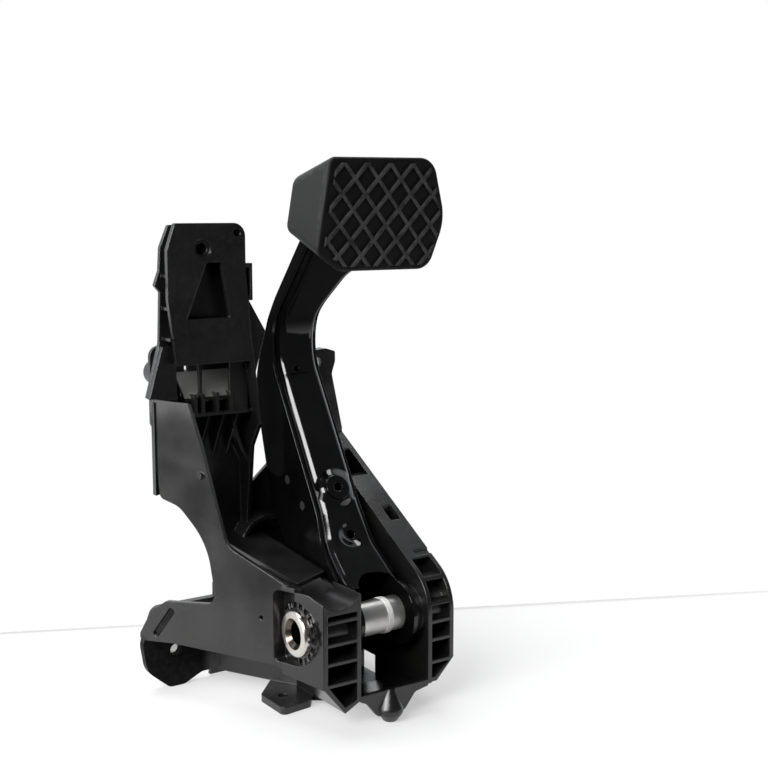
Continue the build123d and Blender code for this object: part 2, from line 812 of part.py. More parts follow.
def pivot_retainer():
    """Push-on ring that holds the tube's right end."""
    ring = rod_x(retainer_d / 2, outer_x, outer_x + retainer_t)
    ring = chamfer(ring.edges().sort_by(Axis.X)[-1], 0.8)
    return ring - rod_x(pivot_tube_d / 2 + press_gap, outer_x - 1, outer_x + retainer_t + 1)


def bearing_liner():
    """Nylon liner between pivot tube and hub tubes, with a collar that shows between them."""
    left = -hub_w / 2
    liner = rod_x(liner_r, left, hub_right_x)
    collar_low = hub_collar_x - hub_collar_w / 2
    liner += rod_x(hub_r + hub_collar_proud, collar_low, collar_low + hub_collar_w)
    return liner - rod_x(pivot_tube_d / 2 + running_gap, left - 1, hub_right_x + 1)


def hub_tube(x_low, x_high):
    """One steel tube of the hub, pressed on the liner."""
    return rod_x(hub_r, x_low, x_high) - rod_x(liner_r + press_gap, x_low - 1, x_high + 1)


def thrust_washer(side):
    """Nylon washer between a lobe of the arm and the cheek's boss; side is -1 or 1."""
    reach = hub_right_x if side > 0 else hub_w / 2
    middle = side * (reach + side_gap / 2 + washer_t / 2)
    ring = rod_x((washer_d if side > 0 else left_washer_d) / 2, middle - washer_t / 2, middle + washer_t / 2)
    return ring - rod_x(pivot_tube_d / 2 + 2 * running_gap, middle - washer_t, middle + washer_t)


# Pedal arm

front_line = [
    (-3.0, hypot(lobe_r, 3.0) - 0.6),
    (arm_knee_y, arm_knee_z),
    (arm_bend_y, arm_bend_z),
    (arm_top_y, arm_top_z),
]


def arm_side(inset=0.0):
    """Side view of the whole arm in (Y, Z), front and back edges, without the hub."""
    front = moved_line(front_line, [inset] * 4)
    lean = radians(32.0)
    top_back = (
        arm_top_y + (arm_top_depth - inset) * cos(lean),
        arm_top_z + (arm_top_depth - inset) * sin(lean),
    )
    back = [
        top_back,
        (82.0 - inset, 163.0),
        (arm_rump_y - inset, arm_rump_z),
        (arm_heel_y - inset, arm_heel_z + inset),
        (13.0, -11.0 + inset),
    ]
    radii = [0, arm_knee_r + inset, arm_bend_r + inset, 0, 0, 60 - inset, 45 - inset, 12 - inset, 0]
    return Plane.YZ * face_of(front + back, radii)


def arm_front_view(inset=0.0):
    """Front view of the arm in (X, Z): wide at the hub, narrow above, flared under the pad."""
    half = arm_w / 2 - inset
    hub = hub_w / 2 - inset
    right = hub_right_x - inset
    return front_solid(
        [
            (-hub, -2 * lobe_r),
            (right, -2 * lobe_r),
            (right, 20.0),
            (half, 50.0),
            (half, 157.0),
            (arm_flare_x - 10.0 - inset, 176.5),
            (arm_flare_x - inset, 183.0),
            (arm_flare_x - inset, 240.0),
            (-half + 12.0, 240.0),
            (-half, 152.0),
            (-half, 50.0),
            (-hub, 20.0),
        ],
        -60.0,
        160.0,
        [0, 0, 20, 20, 30, 12, 5, 0, 0, 30, 20, 20],
    )


def arm_body(side_inset, view_inset):
    """Solid arm, cut back from its full outline by the two insets."""
    reach = arm_flare_x + flare_lip
    return extrude(arm_side(side_inset), reach, both=True) & arm_front_view(view_inset)


def behind_front(low, top):
    """Everything behind the arm's front edge moved back, by one depth low down and another at the top."""
    front = moved_line(front_line, [low, low, low, top])
    far = 3 * lobe_r
    back = [(4 * far, arm_top_z + far), (4 * far, -far), (front[0][0], -far)]
    radii = [0, arm_knee_r + low, arm_bend_r + low, 0, 0, 0, 0]
    return extrude(Plane.YZ * face_of(front + back, radii), 2 * hub_w, both=True)


def pad_plane(depth=0.0):
    """Plane of the pad's face, moved into the pad by a depth. Local x is X and local y is up the face."""
    tilt = radians(pad_tilt_deg)
    face = Plane((pad_x, pad_y, pad_z), x_dir=(1, 0, 0), z_dir=(0, -cos(tilt), -sin(tilt)))
    return face.offset(-depth)


def pad_side(depth):
    """The space in front of a plane this deep behind the pad's face, and above the arm's end."""
    ahead = extrude(pad_plane(depth) * Rectangle(160.0, 120.0), 80.0)
    above = box_between((-arm_w, 0, arm_end_z), (2 * arm_w, rear_y, arm_top_z + 4 * arm_w))
    return ahead + above


def pedal_front_shell():
    """Front pressing: front face, short sides with round lobes at the hub, embossed boss and holes."""
    lobe = rod_x(lobe_r, 0, hub_right_x) + rod_x(left_lobe_r, -hub_w / 2, 0)
    outer = rounded_arm() - behind_front(flank_low, flank_top) + lobe
    shell = outer - (arm_front_view(arm_t) & behind_front(arm_t, arm_t))
    shell -= rod_x(lobe_r + 0.6, -hub_w / 2 + arm_t, hub_right_x - arm_t)
    arch = [
        (-11.5, 8.0),
        (-11.5, 19.3),
        (-7.0, 21.8),
        (-2.0, 22.8),
        (5.0, 22.3),
        (10.5, 20.8),
        (12.2, 18.0),
        (12.2, 8.0),
    ]
    shell -= front_solid(arch, -30.0, 25.0, [0, 2, 4, 4, 4, 2, 1, 0])
    shell += face_bar(emboss_z, emboss_d / 2, arm_t / 2, emboss_h)
    shell -= face_bar(emboss_z, emboss_hole_d / 2, 2 * arm_t, 2 * arm_t)
    shell -= face_bar(dimple_z + 2.0, emboss_hole_d / 2, 2 * arm_t, 2 * arm_t)
    shell -= face_bar(small_hole_z, small_hole_d / 2, 2 * arm_t, 2 * arm_t, -3.0)
    shell -= rod_x(hub_r + press_gap, -hub_w, hub_w)
    return shell - pad_side(pad_face_t + plate_t)


def rounded_arm():
    """Full solid arm with its long front edges rounded."""
    body = arm_body(0, 0)
    skin = behind_front(0.5, 0.5)
    chosen = []
    for edge in body.edges():
        middle = edge @ 0.5
        along = edge % 0.5
        in_front = not skin.is_inside(middle) and 22.0 < middle.Z < arm_top_z - 1.0
        lengthwise = abs(along.Z) > 0.3 and abs(along.X) < 0.5
        if in_front and lengthwise:
            chosen.append(edge)
    return fillet(chosen, arm_edge_r)


def face_bar(z, radius, depth, height, x=0.0):
    """A round bar square to the arm's long front face at this height, from a depth below it to a height above."""
    (y0, z0), (y1, z1) = front_line[1], front_line[2]
    y = y0 + (y1 - y0) * (z - z0) / (z1 - z0)
    length = hypot(y1 - y0, z1 - z0)
    out = (0, -(z1 - z0) / length, (y1 - y0) / length)
    plane = Plane((x, y, z), x_dir=(1, 0, 0), z_dir=out)
    return extrude(plane.offset(-depth) * Circle(radius), depth + height)


def pedal_rear_shell():
    """Rear pressing that takes the front one between its sides, with the pushrod hole and two latch holes."""
    outer = arm_body(0, -arm_t) & behind_front(nest_low, nest_top)
    inner = arm_body(arm_t, 0)
    shell = outer - inner
    shell -= rod_x(lobe_r + 4.0, -hub_w, hub_w)
    for y, z in (latch_a, latch_b):
        shell -= rod_x(latch_hole_d / 2, -arm_w, arm_w, y, z)
    middle_z = (latch_a[1] + latch_b[1]) / 2
    shell -= rod_y(rod_hole_d / 2, 75.0, 120.0, 0, middle_z)
    return shell - pad_side(pad_face_t + plate_t)


def pushrod_socket():
    """Nylon ball socket that latches into the arm's sides and takes the booster's pushrod."""
    middle_y = (latch_a[0] + latch_b[0]) / 2
    middle_z = (latch_a[1] + latch_b[1]) / 2
    half = arm_w / 2 - arm_t - press_gap
    block = Pos(0, middle_y, middle_z) * Box(2 * half, 26.0, 24.0)
    block = fillet(block.edges().filter_by(Axis.X), 5.0)
    block -= Pos(0, middle_y, middle_z) * Sphere(socket_ball_d / 2)
    mouth = Pos(0, middle_y + 8.0, middle_z) * Rot(-90, 0, 0) * Cone(socket_ball_d / 2 - 0.5, rod_hole_d / 2, 16.0)
    block -= mouth
    for y, z in (latch_a, latch_b):
        block += rod_x(latch_hole_d / 2 - press_gap, -arm_w / 2 - arm_t, arm_w / 2 + arm_t, y, z)
    return block


# Pad


def pad_outline(grow=0.0):
    """Pad outline in the pad's plane: square on the left, bulged on the right, cut low on the left."""
    outline = face_of(
        [(-34.5, 30.2), (32.0, 31.0), (43.4, -3.0), (34.5, -31.2), (-24.0, -31.2), (-39.0, -21.0)],
        [4, 12, 30, 10, 10, 7],
    )
    return offset(outline, grow, kind=Kind.INTERSECTION) if grow else outline


def pad_back_outline(grow=0.0):
    """Pad outline at its open back."""
    outline = face_of(
        [(-37.0, 17.0), (24.0, 18.0), (33.0, -2.0), (27.0, -17.5), (-25.0, -17.5), (-40.0, -14.5)],
        [7, 9, 14, 8, 9, 6],
    )
    return offset(outline, grow, kind=Kind.INTERSECTION) if grow else outline


def ridge_lattice():
    """Diamond lattice of low ridges, clipped inside the pad's border."""
    angle = degrees(atan2(ridge_pitch_z, ridge_pitch_x))
    bars = None
    for i in range(-6, 7):
        for turn in (angle, 180.0 - angle):
            bar = Pos(i * ridge_pitch_x + ridge_shift_x, ridge_shift_z) * Rot(0, 0, turn) * Rectangle(160.0, ridge_w)
            bars = bar if bars is None else bars + bar
    clipped = bars & pad_outline(-ridge_border)
    return extrude(pad_plane() * clipped, ridge_h) + extrude(pad_plane() * clipped, -0.5)


def pad_plate():
    """Steel plate inside the rubber pad, welded to the arm's top."""
    plate = pad_plane(pad_face_t) * pad_outline(-pad_skin - 1.0)
    return extrude(plate, -plate_t)


def pad_rubber():
    """Rubber pad: tapered cap over the plate, open behind, with a diamond lattice on its face."""
    cap = loft([pad_plane() * pad_outline(), pad_plane(pad_depth) * pad_back_outline()])
    face_edges = cap.faces().sort_by(Axis.Y)[0].edges()
    cap = fillet(face_edges, 1.6)
    plate_room = extrude(pad_plane(pad_face_t) * pad_outline(-pad_skin - 1.0 + press_gap), -plate_t - press_gap)
    deep = pad_face_t + plate_t
    hollow = loft(
        [
            pad_plane(deep) * pad_outline(-pad_skin - 3.0),
            pad_plane(pad_depth + 1.0) * pad_back_outline(-pad_skin),
        ]
    )
    arm_room = arm_body(-seat_gap, -arm_t - seat_gap) - pad_side(deep)
    cap -= plate_room + hollow
    cap -= arm_room
    return cap + ridge_lattice()


def main():
    """Build every node and write it to its own file."""
    collar_low = hub_collar_x - hub_collar_w / 2
    nodes = {
        "pedal_bracket": pedal_bracket(),
        "mount_sleeves": mount_sleeves(),
        "pivot_tube": pivot_tube(),
        "pivot_retainer": pivot_retainer(),
        "thrust_washer_left": thrust_washer(-1),
        "thrust_washer_right": thrust_washer(1),
        "bearing_liner": bearing_liner(),
        "hub_tube_left": hub_tube(-hub_w / 2, collar_low),
        "hub_tube_right": hub_tube(collar_low + hub_collar_w, hub_right_x),
        "pedal_front_shell": pedal_front_shell(),
        "pedal_rear_shell": pedal_rear_shell(),
        "pushrod_socket": pushrod_socket(),
        "pad_plate": pad_plate(),
        "pad_rubber": pad_rubber(),
    }
    os.makedirs("parts", exist_ok=True)
    for name, shape in nodes.items():
        export_step(shape, f"parts/{name}.step")


main()
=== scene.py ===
"""Looks of a hanging brake pedal in its moulded bracket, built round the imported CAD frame.

Metres, same frame as the CAD: X along the pivot, Y away from the pad's face, Z up.
"""
import json
import logging
import math
from dataclasses import dataclass, field
from enum import Enum

import bpy
import numpy as np
from mathutils import Matrix, Vector

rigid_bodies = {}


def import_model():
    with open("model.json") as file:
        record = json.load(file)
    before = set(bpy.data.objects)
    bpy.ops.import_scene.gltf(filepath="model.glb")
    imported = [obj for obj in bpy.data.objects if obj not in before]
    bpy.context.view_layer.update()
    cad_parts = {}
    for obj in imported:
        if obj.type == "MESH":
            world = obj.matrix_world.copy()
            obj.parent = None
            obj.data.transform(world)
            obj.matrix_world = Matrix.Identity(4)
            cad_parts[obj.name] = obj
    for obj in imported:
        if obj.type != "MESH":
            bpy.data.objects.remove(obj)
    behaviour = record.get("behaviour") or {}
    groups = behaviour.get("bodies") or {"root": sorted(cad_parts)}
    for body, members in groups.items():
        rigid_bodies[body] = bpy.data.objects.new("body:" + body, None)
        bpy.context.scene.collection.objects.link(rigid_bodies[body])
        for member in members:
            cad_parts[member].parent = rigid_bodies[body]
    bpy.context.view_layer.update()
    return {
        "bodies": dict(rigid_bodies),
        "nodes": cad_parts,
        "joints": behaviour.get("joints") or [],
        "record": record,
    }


log = logging.getLogger("brake_pedal")

Colour = tuple[float, float, float]
Point = tuple[float, float, float]
Range = tuple[float, float]
Socket = bpy.types.NodeSocket
Value = float | tuple | Socket

WHITE: Colour = (1.0, 1.0, 1.0)
BLACK: Colour = (0.0, 0.0, 0.0)
FULL_IOR = 1.5  # index of a finish with all of its reflection; 1 has none
GRAIN_M = 0.0004  # height of the fine grain at full strength
DUST_ROUGH = 0.3  # roughness that full dust adds
EDGE_SAMPLES = 4  # rays that soften an edge


class Slot(Enum):
    """Material slots of the record."""

    BRACKET = "bracket_plastic"
    PAINT = "arm_paint"
    BRIGHT = "bright_steel"
    ZINC = "zinc_steel"
    NYLON = "nylon_white"
    NYLON_BLACK = "nylon_black"
    RUBBER = "pad_rubber_black"


class Graph:
    """A thin helper round a node tree: makes nodes, sets sockets and links them."""

    def __init__(self, tree: bpy.types.NodeTree) -> None:
        """Keep the tree to work on."""
        self.tree = tree

    @classmethod
    def fresh(cls, owner: bpy.types.Material | bpy.types.World) -> "Graph":
        """Empty the node tree of a material or a world.

        Args:
            owner: material or world.

        Returns:
            A graph on the emptied tree.
        """
        owner.use_nodes = True
        owner.node_tree.nodes.clear()
        return cls(owner.node_tree)

    def add(self, kind: str, **inputs: Value) -> bpy.types.Node:
        """Add a node and set its inputs.

        Args:
            kind: Blender node type name.
            inputs: socket name (spaces as underscores) to a constant or an output socket.

        Returns:
            The new node.
        """
        node = self.tree.nodes.new(kind)
        for name, value in inputs.items():
            self.put(node, name.replace("_", " "), value)
        return node

    def put(self, node: bpy.types.Node, name: str | int, value: Value) -> None:
        """Set one input to a constant or link it.

        Args:
            node: node that has the input.
            name: socket name or index.
            value: constant or output socket.
        """
        socket = node.inputs[name]
        if isinstance(value, Socket):
            self.tree.links.new(value, socket)
        else:
            socket.default_value = value

    def group(self, tree: bpy.types.NodeTree, **inputs: Value) -> bpy.types.Node:
        """Place a shared node group.

        Args:
            tree: the group.
            inputs: socket name to a constant or an output socket.

        Returns:
            The new group node.
        """
        node = self.tree.nodes.new("ShaderNodeGroup")
        node.node_tree = tree
        for name, value in inputs.items():
            self.put(node, name, value)
        return node

    def math(self, how: str, a: Value, b: Value = 0.0, clamp: bool = False) -> Socket:
        """Add a math node.

        Args:
            how: operation name.
            a: first value or socket.
            b: second value or socket.
            clamp: keep the result in 0 to 1.

        Returns:
            The result socket.
        """
        node = self.tree.nodes.new("ShaderNodeMath")
        node.operation = how
        node.use_clamp = clamp
        self.put(node, 0, a)
        self.put(node, 1, b)
        return node.outputs[0]

    def times(self, first: Value, *others: Value) -> Value:
        """Multiply values, from the first to the last.

        Args:
            first: first value or socket.
            others: values or sockets to multiply it by.

        Returns:
            The product.
        """
        for other in others:
            first = self.math("MULTIPLY", first, other)
        return first

    def vector(self, how: str, a: Value, b: Value) -> bpy.types.Node:
        """Add a vector math node.

        Args:
            how: operation name.
            a: first vector or socket.
            b: second vector or socket.

        Returns:
            The new node, with outputs Vector and Value.
        """
        node = self.tree.nodes.new("ShaderNodeVectorMath")
        node.operation = how
        self.put(node, 0, a)
        self.put(node, 1, b)
        return node

    def mix(self, factor: Value, a: Colour | Socket, b: Colour | Socket) -> Socket:
        """Mix two colours.

        Args:
            factor: 0 gives a, 1 gives b.
            a: colour or socket.
            b: colour or socket.

        Returns:
            The mixed colour.
        """
        node = self.tree.nodes.new("ShaderNodeMix")
        node.data_type = "RGBA"
        self.put(node, 0, factor)
        for index, colour in ((6, a), (7, b)):  # the node's two colour inputs
            self.put(node, index, colour if isinstance(colour, Socket) else (*colour, 1.0))
        return node.outputs[2]

    def span(
        self, value: Value, low: Value, high: Value,
        to_low: float = 0.0, to_high: float = 1.0, smooth: bool = True,
    ) -> Socket:
        """Map a range to another and hold the result at its ends.

        Args:
            value: socket to map.
            low: start of the input range.
            high: end of the input range.
            to_low: result at low.
            to_high: result at high.
            smooth: ease in and out, or run straight.

        Returns:
            The mapped socket.
        """
        node = self.tree.nodes.new("ShaderNodeMapRange")
        node.interpolation_type = "SMOOTHSTEP" if smooth else "LINEAR"
        for index, number in enumerate((value, low, high, to_low, to_high)):
            self.put(node, index, number)
        return node.outputs[0]

    def noise(self, vector: Socket, scale: Value, detail: float = 3.0, rough: float = 0.55) -> Socket:
        """Add a noise texture.

        Args:
            vector: coordinates socket.
            scale: features per metre.
            detail: octaves.
            rough: roughness of the octaves.

        Returns:
            The noise value socket.
        """
        node = self.add("ShaderNodeTexNoise", Vector=vector, Scale=scale, Detail=detail, Roughness=rough)
        return node.outputs["Fac"]

    def bump(self, height: Socket, metres: float, normal: Socket, strength: float = 1.0) -> Socket:
        """Add relief to a normal.

        Args:
            height: height socket, where 1 is the full height.
            metres: the full height.
            normal: normal so far.
            strength: share of the relief that shows.

        Returns:
            The new normal.
        """
        node = self.add("ShaderNodeBump", Strength=strength, Distance=metres, Height=height, Normal=normal)
        return node.outputs["Normal"]

    def place(self) -> Socket:
        """Object coordinates, in metres."""
        return self.add("ShaderNodeTexCoord").outputs["Object"]

    def facing(self) -> Socket:
        """Way that the surface faces, in the object's own axes."""
        return self.add("ShaderNodeTexCoord").outputs["Normal"]

    def axes(self, vector: Socket) -> tuple[Socket, ...]:
        """X, Y and Z of a vector."""
        return tuple(self.add("ShaderNodeSeparateXYZ", Vector=vector).outputs)

    def dot(self, a: Value, b: Value) -> Socket:
        """Dot product of two vectors."""
        return self.vector("DOT_PRODUCT", a, b).outputs["Value"]

    def away(self, point: Point) -> Socket:
        """Distance from a point of the piece, in metres."""
        return self.vector("DISTANCE", self.place(), point).outputs["Value"]


class Effects:
    """Shared shader effects, each a node group that gives only masks or heights."""

    MOTTLE: Range = (0.35, 0.68)  # noise that the broad mottle spreads over 0 to 1
    SPECKS_PER_M = 900.0
    SPECKS: Range = (0.52, 0.74)  # noise that becomes specks of dust
    FILM_PER_M = 60.0
    FILM: Range = (0.30, 0.75)  # noise that becomes a film of dust
    SPECK_SHARE = 0.55  # share of the specks in the dust; the film has the rest
    UP: Range = (0.10, 0.95)  # upward part of the normal, from no dust to full dust
    RUBS_PER_M = 420.0
    RUBBED: Range = (0.40, 0.62)  # noise that breaks up the rubbed edges

    def __init__(self) -> None:
        """Build each group once."""
        self.grain = self._grain()
        self.dust = self._dust()
        self.wear = self._wear()

    @staticmethod
    def _group(name: str, inputs: dict[str, float], outputs: tuple[str, ...]) -> Graph:
        """Start a node group with its sockets.

        Args:
            name: name of the group.
            inputs: input names and their default values.
            outputs: output names.

        Returns:
            A graph on the group's tree.
        """
        tree = bpy.data.node_groups.new(name, "ShaderNodeTree")
        for key, value in inputs.items():
            socket = tree.interface.new_socket(key, in_out="INPUT", socket_type="NodeSocketFloat")
            socket.default_value = value
        for key in outputs:
            tree.interface.new_socket(key, in_out="OUTPUT", socket_type="NodeSocketFloat")
        return Graph(tree)

    def _grain(self) -> bpy.types.NodeTree:
        """Fine moulded grain as a height, and a broad flow mottle as a mask.

        Returns:
            The group, with inputs Fine and Broad in features per metre.
        """
        g = self._group("surface_grain", {"Fine": 2600.0, "Broad": 34.0}, ("Height", "Mottle"))
        given = g.add("NodeGroupInput").outputs
        coords = g.place()
        fine = g.noise(coords, given["Fine"], detail=2.0, rough=0.5)
        broad = g.noise(coords, given["Broad"], detail=4.0, rough=0.5)
        g.add("NodeGroupOutput", Height=fine, Mottle=g.span(broad, *self.MOTTLE))
        return g.tree

    def _dust(self) -> bpy.types.NodeTree:
        """Dust on faces that look up, broken by noise.

        Returns:
            The group, with input Amount from 0 to 1.
        """
        g = self._group("dust", {"Amount": 0.5}, ("Mask",))
        given = g.add("NodeGroupInput").outputs
        coords = g.place()
        specks = g.span(g.noise(coords, self.SPECKS_PER_M, detail=4.0, rough=0.7), *self.SPECKS)
        film = g.span(g.noise(coords, self.FILM_PER_M), *self.FILM)
        specks = g.times(specks, self.SPECK_SHARE)
        film = g.times(film, 1.0 - self.SPECK_SHARE)
        normal = g.add("ShaderNodeNewGeometry").outputs["Normal"]
        up = g.span(g.axes(normal)[2], *self.UP)
        settled = g.times(g.math("ADD", specks, film), up)
        g.add("NodeGroupOutput", Mask=g.math("MULTIPLY", settled, given["Amount"], True))
        return g.tree

    def _wear(self) -> bpy.types.NodeTree:
        """Rubbed edges from the surface's pointiness, broken by noise.

        Returns:
            The group, with inputs Start and End of the pointiness that is rubbed.
        """
        g = self._group("edge_wear", {"Start": 0.52, "End": 0.60}, ("Mask",))
        given = g.add("NodeGroupInput").outputs
        point = g.add("ShaderNodeNewGeometry").outputs["Pointiness"]
        edge = g.span(point, given["Start"], given["End"], smooth=False)
        broken = g.span(g.noise(g.place(), self.RUBS_PER_M, detail=4.0, rough=0.65), *self.RUBBED)
        g.add("NodeGroupOutput", Mask=g.math("MULTIPLY", edge, broken, True))
        return g.tree


@dataclass(frozen=True)
class Finish:
    """One procedural finish.

    Attributes:
        slot: record slot it stands for.
        base: base colour.
        tone: second colour of the broad mottle.
        rough: roughness where clean.
        rough_span: how far the mottle moves the roughness.
        metal: metallic value.
        specular: specular level.
        bump: strength of the fine grain.
        grain: fine grain, features per metre.
        broad: broad mottle, features per metre.
        dust: dust amount on faces that look up.
        dust_colour: colour of the dust.
        wear: strength of the rubbed edges; on the bracket the lighter edges are also a painted edge
            highlight.
        wear_colour: colour of the rubbed edges, and on the bracket of the painted edge highlight too.
        round_edges: radius that softens edges, in metres.
    """

    slot: Slot
    base: Colour
    tone: Colour
    rough: float
    rough_span: float = 0.08
    metal: float = 0.0
    specular: float = 0.5
    bump: float = 0.05
    grain: float = 2600.0
    broad: float = 34.0
    dust: float = 0.05
    dust_colour: Colour = (0.20, 0.20, 0.19)
    wear: float = 0.0
    wear_colour: Colour = (0.12, 0.12, 0.12)
    round_edges: float = 0.0004

    def build(self, effects: Effects) -> bpy.types.Material:
        """Make the material.

        Args:
            effects: shared node groups.

        Returns:
            The new material.
        """
        material = bpy.data.materials.new(self.slot.value)
        g = Graph.fresh(material)
        grain = g.group(effects.grain, Fine=self.grain, Broad=self.broad).outputs
        dust = g.group(effects.dust, Amount=self.dust).outputs["Mask"]
        worn = g.times(g.group(effects.wear).outputs["Mask"], self.wear)
        colour = g.mix(grain["Mottle"], self.base, self.tone)
        colour = self.tint(g, g.mix(worn, colour, self.wear_colour))
        colour = g.mix(dust, colour, self.dust_colour)
        rough = g.span(grain["Mottle"], 0.0, 1.0, self.rough - self.rough_span, self.rough + self.rough_span)
        rough = g.math("ADD", rough, g.times(dust, DUST_ROUGH), True)
        edges = g.add("ShaderNodeBevel", Radius=self.round_edges)
        edges.samples = EDGE_SAMPLES
        normal = self.relief(g, edges.outputs["Normal"])
        normal = g.bump(grain["Height"], GRAIN_M, normal, self.bump)
        shader = g.add(
            "ShaderNodeBsdfPrincipled", Base_Color=colour, Roughness=rough, Metallic=self.metal,
            Specular_IOR_Level=self.specular, IOR=FULL_IOR, Normal=normal,
        )
        gloss = self.gloss(g)
        if gloss is not None:
            g.put(shader, "IOR", g.math("ADD", g.times(gloss, FULL_IOR - 1.0), 1.0))
        g.add("ShaderNodeOutputMaterial", Surface=shader.outputs[0])
        return material

    def tint(self, g: Graph, colour: Socket) -> Socket:
        """Change the colour by place on the piece; the plain finish leaves it.

        Args:
            g: graph of the material.
            colour: colour so far.

        Returns:
            The new colour.
        """
        return colour

    def gloss(self, g: Graph) -> Socket | None:
        """Share of the reflection by place, from 0 to 1; the plain finish keeps all of it.

        Args:
            g: graph of the material.

        Returns:
            The share, or None for all of it.
        """
        return None

    def relief(self, g: Graph, normal: Socket) -> Socket:
        """Add larger relief under the fine grain; the plain finish adds none.

        Args:
            g: graph of the material.
            normal: normal so far.

        Returns:
            The new normal.
        """
        return normal


@dataclass(frozen=True)
class PressedPaint(Finish):
    """Gloss paint on a pressing: slow waves, a swell round the boss and a dish round the lower hole.

    Attributes:
        waves: slow waves, features per metre.
        wave_m: height of the waves.
        swell_m: height of the swell.
        boss: middle of the boss.
        boss_r: radii between which the swell falls away.
        dish: middle of the lower hole.
        dish_r: radii between which the dish comes up.
        dish_share: depth of the dish, as a share of the swell.
        flank_x: sideways part of the normal, from flank to front.
        flank_gloss: share of the reflection on the left flank.
        under_z: upward part of the normal, from the face that looks down to the front.
        under_gloss: share of the reflection on the face that looks down.
    """

    waves: float = 48.0
    wave_m: float = 0.00042
    swell_m: float = 0.0026
    boss: Point = (0.0, 0.0386, 0.0618)
    boss_r: Range = (0.0065, 0.0125)
    dish: Point = (0.0, 0.0254, 0.0384)
    dish_r: Range = (0.0030, 0.0085)
    dish_share: float = 0.8
    flank_x: Range = (-0.995, -0.95)
    flank_gloss: float = 0.08
    under_z: Range = (-0.40, -0.10)
    under_gloss: float = 0.25

    def gloss(self, g: Graph) -> Socket | None:
        """Painted shade: less reflection on the left flank and on the face that looks down under the pad.

        Args:
            g: graph of the material.

        Returns:
            Share of the reflection.
        """
        x, _, z = g.axes(g.facing())
        # painted shade: the reflection is cut by the way the surface faces
        flank = g.span(x, *self.flank_x, self.flank_gloss, 1.0)
        under = g.span(z, *self.under_z, self.under_gloss, 1.0)
        return g.times(flank, under)

    def relief(self, g: Graph, normal: Socket) -> Socket:
        """Waves of the dip paint and the drawn metal round the two holes.

        Args:
            g: graph of the material.
            normal: normal so far.

        Returns:
            The new normal.
        """
        waves = g.noise(g.place(), self.waves, detail=1.5, rough=0.5)
        waved = g.bump(waves, self.wave_m, normal)
        up = g.span(g.away(self.boss), *self.boss_r, 1.0, 0.0)
        down = g.span(g.away(self.dish), *self.dish_r, -self.dish_share, 0.0)
        return g.bump(g.math("ADD", up, down), self.swell_m, waved)


@dataclass(frozen=True)
class Moulding(Finish):
    """Glass-filled plastic with sink marks, painted shade as less reflection on the round foot, and a lighter
    grey on the sloped panel.

    Attributes:
        foot: corner right of, in front of and above the round foot.
        foot_soft: half the width over which the cut in reflection begins, along each axis.
        foot_reflection_cut: share of the reflection that the foot loses, as painted shade.
        panel: middle of the sloped panel behind the tower's window.
        panel_way: way that the panel faces.
        panel_facing: likeness to that way, from none of the lighter grey to all of it.
        panel_r: radii between which the lighter grey ends.
        panel_colour: the lighter grey.
        sinks: sink marks, features per metre.
        sink_m: height of the sink marks.
    """

    foot: Point = (-0.055, 0.085, -0.020)
    foot_soft: Point = (0.004, 0.002, 0.004)
    foot_reflection_cut: float = 0.85
    panel: Point = (-0.050, 0.086, 0.119)
    panel_way: Point = (0.0, -0.7071, 0.7071)
    panel_facing: Range = (0.96, 0.99)
    panel_r: Range = (0.026, 0.030)
    panel_colour: Colour = (0.085, 0.085, 0.082)
    sinks: float = 26.0
    sink_m: float = 0.0022

    def tint(self, g: Graph, colour: Socket) -> Socket:
        """Lighter grey on the sloped panel behind the tower's window.

        Args:
            g: graph of the material.
            colour: colour so far.

        Returns:
            The new colour.
        """
        facing = g.span(g.dot(g.facing(), self.panel_way), *self.panel_facing)
        near = g.span(g.away(self.panel), *self.panel_r, 1.0, 0.0)
        # lighter grey on the sloped panel behind the window
        return g.mix(g.times(facing, near), colour, self.panel_colour)

    def gloss(self, g: Graph) -> Socket | None:
        """Cut most of the reflection on the round foot, as painted shade.

        Args:
            g: graph of the material.

        Returns:
            Share of the reflection.
        """
        x, y, z = g.axes(g.place())
        right, front, top = self.foot
        soft_x, soft_y, soft_z = self.foot_soft
        left = g.span(x, right - soft_x, right + soft_x, 1.0, 0.0)
        rear = g.span(y, front - soft_y, front + soft_y)
        low = g.span(z, top - soft_z, top + soft_z, 1.0, 0.0)
        # painted shade: the round foot loses most of its reflection
        return g.math("SUBTRACT", 1.0, g.times(left, rear, low, self.foot_reflection_cut))

    def relief(self, g: Graph, normal: Socket) -> Socket:
        """Slow sink marks of the moulding, which break up its sheen.

        Args:
            g: graph of the material.
            normal: normal so far.

        Returns:
            The new normal.
        """
        sinks = g.noise(g.place(), self.sinks, detail=1.0, rough=0.5)
        return g.bump(sinks, self.sink_m, normal)


